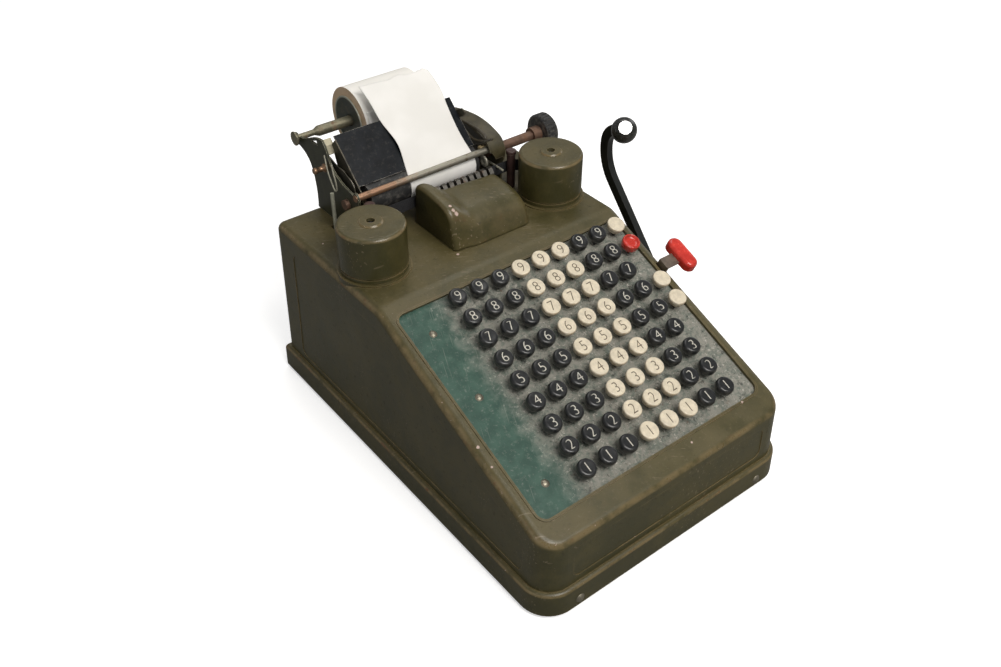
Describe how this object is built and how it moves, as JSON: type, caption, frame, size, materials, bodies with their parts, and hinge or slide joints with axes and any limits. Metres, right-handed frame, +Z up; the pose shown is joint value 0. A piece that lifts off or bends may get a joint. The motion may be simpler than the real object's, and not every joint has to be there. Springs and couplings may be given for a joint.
{
  "type": "adding machine",
  "caption": "Hand-cranked desk adding machine with a full sloped keyboard, ribbon printer with paper roll on a small carriage, side crank and red minus bar.",
  "frame": {"origin": "bottom centre of the whole machine's bounding box, on the table", "axes": "+X to the operator's right, +Y to the rear, +Z up"},
  "size_m": [0.2691, 0.389, 0.2306],
  "materials": {
    "drab_paint": "satin",
    "dark_paint": "satin",
    "green_paint": "satin",
    "black_paint": "satin",
    "steel": "worn",
    "bright_steel": "polished",
    "copper_worn": "worn",
    "black_plastic": "glossy",
    "cream_plastic": "glossy",
    "red_plastic": "glossy",
    "black_rubber": "matte",
    "paper": "matte",
    "ribbon_cloth": "matte"
  },
  "bodies": {
    "machine": {"case": "drab_paint", "case_screws": "steel", "base_plate": "steel", "rubber_feet": "black_rubber", "keyboard_plate": "green_paint", "key_guide_plate": "steel", "side_frame_left": "steel", "side_frame_right": "steel", "tie_rods": "steel", "spool_shafts": "steel", "ribbon_guide_posts": "steel", "ribbon": "ribbon_cloth", "type_hood": "drab_paint", "type_bar_guides": "steel", "spool_cover_left": "drab_paint", "spool_cover_right": "drab_paint", "carriage_plate_left": "dark_paint", "carriage_plate_right": "dark_paint", "platen_bracket": "dark_paint", "paper_table": "black_paint", "paper_strip": "paper", "paper_bar": "copper_worn"},
    "key_column_1": {"keycaps_column_1": "black_plastic", "keystems_column_1": "steel"},
    "key_column_2": {"keycaps_column_2": "black_plastic", "keystems_column_2": "steel"},
    "key_column_3": {"keycaps_column_3": "black_plastic", "keystems_column_3": "steel"},
    "key_column_4": {"keycaps_column_4": "cream_plastic", "keystems_column_4": "steel"},
    "key_column_5": {"keycaps_column_5": "cream_plastic", "keystems_column_5": "steel"},
    "key_column_6": {"keycaps_column_6": "cream_plastic", "keystems_column_6": "steel"},
    "key_column_7": {"keycaps_column_7": "black_plastic", "keystems_column_7": "steel"},
    "key_column_8": {"keycaps_column_8": "black_plastic", "keystems_column_8": "steel"},
    "repeat_key_body": {"repeat_key": "cream_plastic"},
    "total_key_body": {"total_key": "cream_plastic"},
    "non_add_key_body": {"non_add_key": "red_plastic"},
    "subtotal_key_body": {"subtotal_key": "cream_plastic"},
    "minus_bar_body": {"minus_bar": "red_plastic", "minus_bar_arm": "steel"},
    "crank": {"crank_arm": "black_paint", "crank_shaft": "steel", "crank_knob": "black_plastic", "crank_knob_pin": "bright_steel"},
    "racks": {"adding_racks": "steel"},
    "wheels": {"adding_wheels": "steel"},
    "type_bars_body": {"type_bars": "steel"},
    "platen": {"platen_roller": "black_rubber", "platen_shaft": "steel", "platen_knob": "black_plastic"},
    "paper_supply": {"paper_roll": "paper", "roll_spindle_right": "steel"},
    "left_spindle": {"roll_spindle_left": "copper_worn"},
    "left_spool": {"ribbon_spool_left": "steel"},
    "right_spool": {"ribbon_spool_right": "steel"},
    "release": {"release_lever": "steel"}
  },
  "joints": [
    {"name": "key_column_1_press", "type": "slide", "parent": "machine", "child": "key_column_1", "axis": [0, 0.379, -0.9254], "range_m": [0, 0.004], "stiffness_N_per_m": 600, "springref_m": -0.003},
    {"name": "key_column_2_press", "type": "slide", "parent": "machine", "child": "key_column_2", "axis": [0, 0.379, -0.9254], "range_m": [0, 0.004], "stiffness_N_per_m": 600, "springref_m": -0.003},
    {"name": "key_column_3_press", "type": "slide", "parent": "machine", "child": "key_column_3", "axis": [0, 0.379, -0.9254], "range_m": [0, 0.004], "stiffness_N_per_m": 600, "springref_m": -0.003},
    {"name": "key_column_4_press", "type": "slide", "parent": "machine", "child": "key_column_4", "axis": [0, 0.379, -0.9254], "range_m": [0, 0.004], "stiffness_N_per_m": 600, "springref_m": -0.003},
    {"name": "key_column_5_press", "type": "slide", "parent": "machine", "child": "key_column_5", "axis": [0, 0.379, -0.9254], "range_m": [0, 0.004], "stiffness_N_per_m": 600, "springref_m": -0.003},
    {"name": "key_column_6_press", "type": "slide", "parent": "machine", "child": "key_column_6", "axis": [0, 0.379, -0.9254], "range_m": [0, 0.004], "stiffness_N_per_m": 600, "springref_m": -0.003},
    {"name": "key_column_7_press", "type": "slide", "parent": "machine", "child": "key_column_7", "axis": [0, 0.379, -0.9254], "range_m": [0, 0.004], "stiffness_N_per_m": 600, "springref_m": -0.003},
    {"name": "key_column_8_press", "type": "slide", "parent": "machine", "child": "key_column_8", "axis": [0, 0.379, -0.9254], "range_m": [0, 0.004], "stiffness_N_per_m": 600, "springref_m": -0.003},
    {"name": "repeat_key_press", "type": "slide", "parent": "machine", "child": "repeat_key_body", "axis": [0, 0.379, -0.9254], "range_m": [0, 0.004], "stiffness_N_per_m": 600, "springref_m": -0.003},
    {"name": "total_key_press", "type": "slide", "parent": "machine", "child": "total_key_body", "axis": [0, 0.379, -0.9254], "range_m": [0, 0.004], "stiffness_N_per_m": 600, "springref_m": -0.003},
    {"name": "non_add_key_press", "type": "slide", "parent": "machine", "child": "non_add_key_body", "axis": [0, 0.379, -0.9254], "range_m": [0, 0.004], "stiffness_N_per_m": 600, "springref_m": -0.003},
    {"name": "subtotal_key_press", "type": "slide", "parent": "machine", "child": "subtotal_key_body", "axis": [0, 0.379, -0.9254], "range_m": [0, 0.004], "stiffness_N_per_m": 600, "springref_m": -0.003},
    {"name": "minus_bar_press", "type": "slide", "parent": "machine", "child": "minus_bar_body", "axis": [0, 0.379, -0.9254], "range_m": [0, 0.003], "stiffness_N_per_m": 700, "springref_m": -0.003},
    {"name": "crank_pull", "type": "hinge", "parent": "machine", "child": "crank", "pos_m": [0.12415, -0.02446, 0.082], "axis": [1, 0, 0], "range_deg": [0, 80], "stiffness_Nm_per_rad": 0.9, "springref_deg": -28.65},
    {"name": "rack_travel", "type": "slide", "parent": "machine", "child": "racks", "axis": [0, -1, 0], "range_m": [0, 0.027]},
    {"name": "wheel_turn", "type": "hinge", "parent": "machine", "child": "wheels", "pos_m": [-0.01405, 0.00754, 0.04], "axis": [1, 0, 0], "range_deg": [-200, 0]},
    {"name": "type_bar_rise", "type": "slide", "parent": "machine", "child": "type_bars_body", "axis": [0, 0, 1], "range_m": [0, 0.009]},
    {"name": "platen_spin", "type": "hinge", "parent": "machine", "child": "platen", "pos_m": [-0.01405, 0.09904, 0.1693], "axis": [1, 0, 0], "continuous": true},
    {"name": "paper_roll_spin", "type": "hinge", "parent": "machine", "child": "paper_supply", "pos_m": [-0.01405, 0.16754, 0.1965], "axis": [1, 0, 0], "continuous": true},
    {"name": "left_spindle_pull", "type": "slide", "parent": "machine", "child": "left_spindle", "axis": [-1, 0, 0], "range_m": [0, 0.011], "stiffness_N_per_m": 150, "springref_m": -0.004},
    {"name": "left_spool_spin", "type": "hinge", "parent": "machine", "child": "left_spool", "pos_m": [-0.09805, 0.04954, 0.1532], "axis": [0, 0, 1], "continuous": true},
    {"name": "right_spool_spin", "type": "hinge", "parent": "machine", "child": "right_spool", "pos_m": [0.06995, 0.04954, 0.1532], "axis": [0, 0, 1], "continuous": true},
    {"name": "release_lever_tilt", "type": "hinge", "parent": "machine", "child": "release", "pos_m": [-0.09365, 0.11134, 0.132], "axis": [1, 0, 0], "range_deg": [-8, 8]}
  ],
  "couplings": [
    {"joint": "rack_travel", "follows": "crank_pull", "m_per_rad": 0.0193},
    {"joint": "wheel_turn", "follows": "crank_pull", "ratio": -2.4125},
    {"joint": "type_bar_rise", "follows": "crank_pull", "m_per_rad": 0.0064},
    {"joint": "paper_roll_spin", "follows": "platen_spin", "ratio": -0.50741},
    {"joint": "right_spool_spin", "follows": "left_spool_spin", "ratio": 1}
  ]
}
